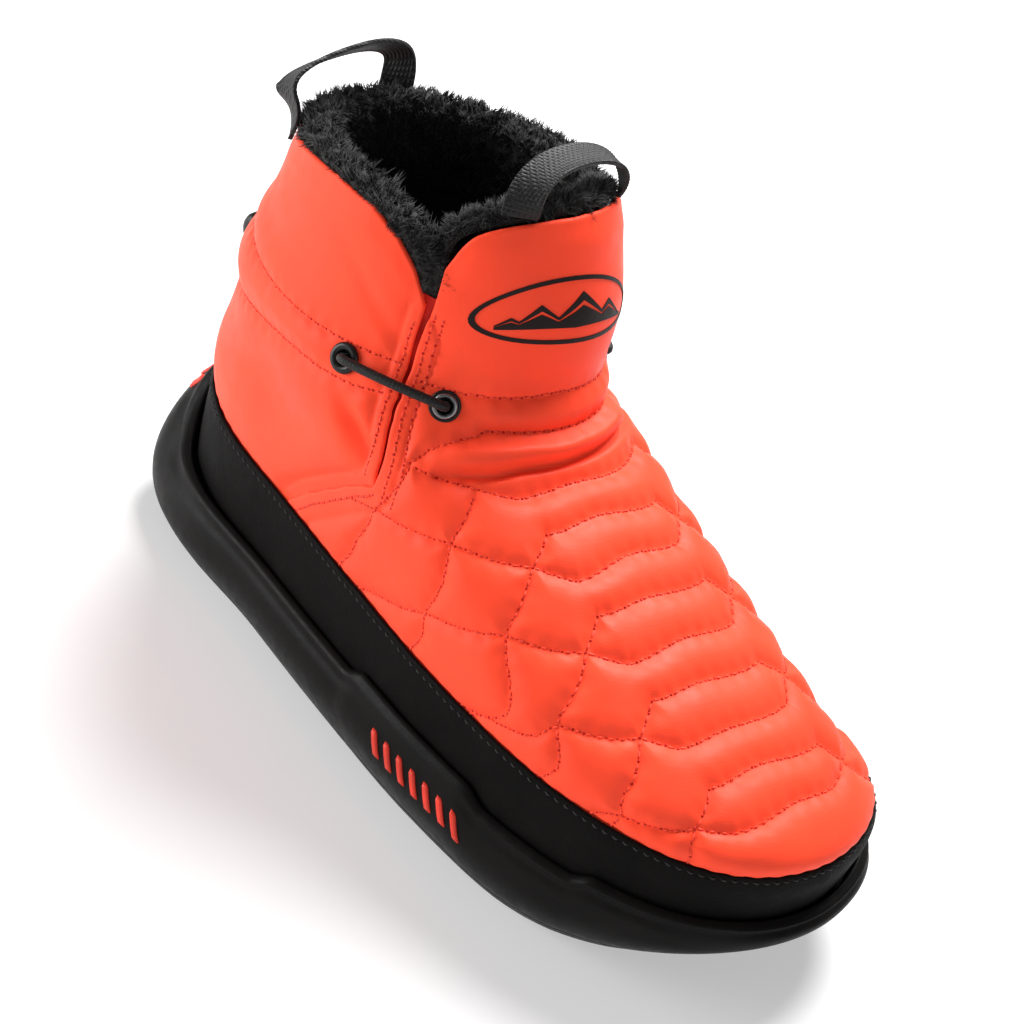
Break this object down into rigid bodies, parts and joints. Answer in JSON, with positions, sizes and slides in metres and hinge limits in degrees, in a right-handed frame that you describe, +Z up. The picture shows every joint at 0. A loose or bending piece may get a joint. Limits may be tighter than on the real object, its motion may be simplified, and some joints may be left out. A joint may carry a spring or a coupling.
{
  "type": "insulated slip-on snow boot",
  "caption": "Right padded slip-on snow boot with a cup sole, black rand, plush collar, gusseted front, elastic instep cord with a lock, and front and heel pull loops.",
  "frame": {"origin": "on the floor, under the middle of the whole boot's box", "axes": "+Z up out of the shaft, -Y towards the toe and +Y towards the heel, +X towards the inner side of this right foot"},
  "size_m": [0.1328, 0.3184, 0.2157],
  "materials": {
    "softshell": "smooth matt woven softshell",
    "gusset_stretch": "matt elastic knit",
    "rand": "matt fine-grained rubberised fabric",
    "sole": "smooth matt moulded rubber",
    "mark": "smooth raised rubber inlay",
    "plush": "deep pile plush",
    "fleece": "short pile fleece",
    "foam": "open foam wadding",
    "board": "pressed fibre board",
    "webbing": "flat woven webbing",
    "elastic": "braided round elastic",
    "eyelet_grey": "plain grey metal ring",
    "eyelet_black": "black enamelled metal ring",
    "toggle": "matt moulded plastic",
    "steel": "plain steel"
  },
  "bodies": {
    "boot": {"outsole": "sole", "midsole": "sole", "sidewall_bars": "mark", "heel_bars": "mark", "lasting_board": "board", "footbed": "fleece", "rand": "rand", "vamp": "softshell", "rear_quarter": "softshell", "gusset_lateral": "gusset_stretch", "gusset_medial": "gusset_stretch", "padding_vamp": "foam", "padding_rear": "foam", "lining_foot": "fleece", "lining_rear": "fleece", "toe_puff": "board", "heel_counter": "board", "fur_rear": "plush", "eyelet_rear_lateral": "eyelet_black", "eyelet_rear_medial": "eyelet_black", "washer_rear_lateral": "steel", "washer_rear_medial": "steel", "cord_span_lateral": "elastic", "cord_span_medial": "elastic", "cord_channel_lateral": "elastic", "cord_channel_medial": "elastic", "cord_tail_lateral": "elastic", "cord_tail_medial": "elastic", "cord_end": "toggle"},
    "front_collar": {"front_collar": "softshell", "padding_front": "foam", "lining_front": "fleece", "fur_front": "plush", "eyelet_front_lateral": "eyelet_grey", "eyelet_front_medial": "eyelet_grey", "washer_front_lateral": "steel", "washer_front_medial": "steel", "cord_channel_front": "elastic"},
    "front_loop": {"front_loop": "webbing"},
    "heel_loop": {"heel_loop": "webbing"},
    "cord_lock": {"cord_lock": "toggle", "lock_spring": "steel"},
    "lock_button": {"lock_button": "toggle"}
  },
  "joints": [
    {"name": "collar_open", "type": "hinge", "parent": "boot", "child": "front_collar", "pos_m": [0.0021, -0.0156, 0.123], "axis": [1, 0, 0], "range_deg": [0, 15], "stiffness_Nm_per_rad": 0.3, "deforming": ["gusset_lateral", "gusset_medial", "cord_span_lateral", "cord_span_medial"]},
    {"name": "front_loop_fold", "type": "hinge", "parent": "front_collar", "child": "front_loop", "pos_m": [0.0021, 0.0192, 0.1996], "axis": [1, 0, 0], "range_deg": [0, 70], "stiffness_Nm_per_rad": 0.01},
    {"name": "heel_loop_fold", "type": "hinge", "parent": "boot", "child": "heel_loop", "pos_m": [0, 0.1298, 0.1749], "axis": [-1, 0, 0], "range_deg": [0, 75], "stiffness_Nm_per_rad": 0.01},
    {"name": "lock_slide", "type": "slide", "parent": "boot", "child": "cord_lock", "axis": [0, 0, -1], "range_m": [0, 0.009]},
    {"name": "button_press", "type": "slide", "parent": "cord_lock", "child": "lock_button", "axis": [-1, 0, 0], "range_m": [0, 0.0025], "stiffness_N_per_m": 400, "springref_m": -0.001, "deforming": ["lock_spring"]}
  ]
}
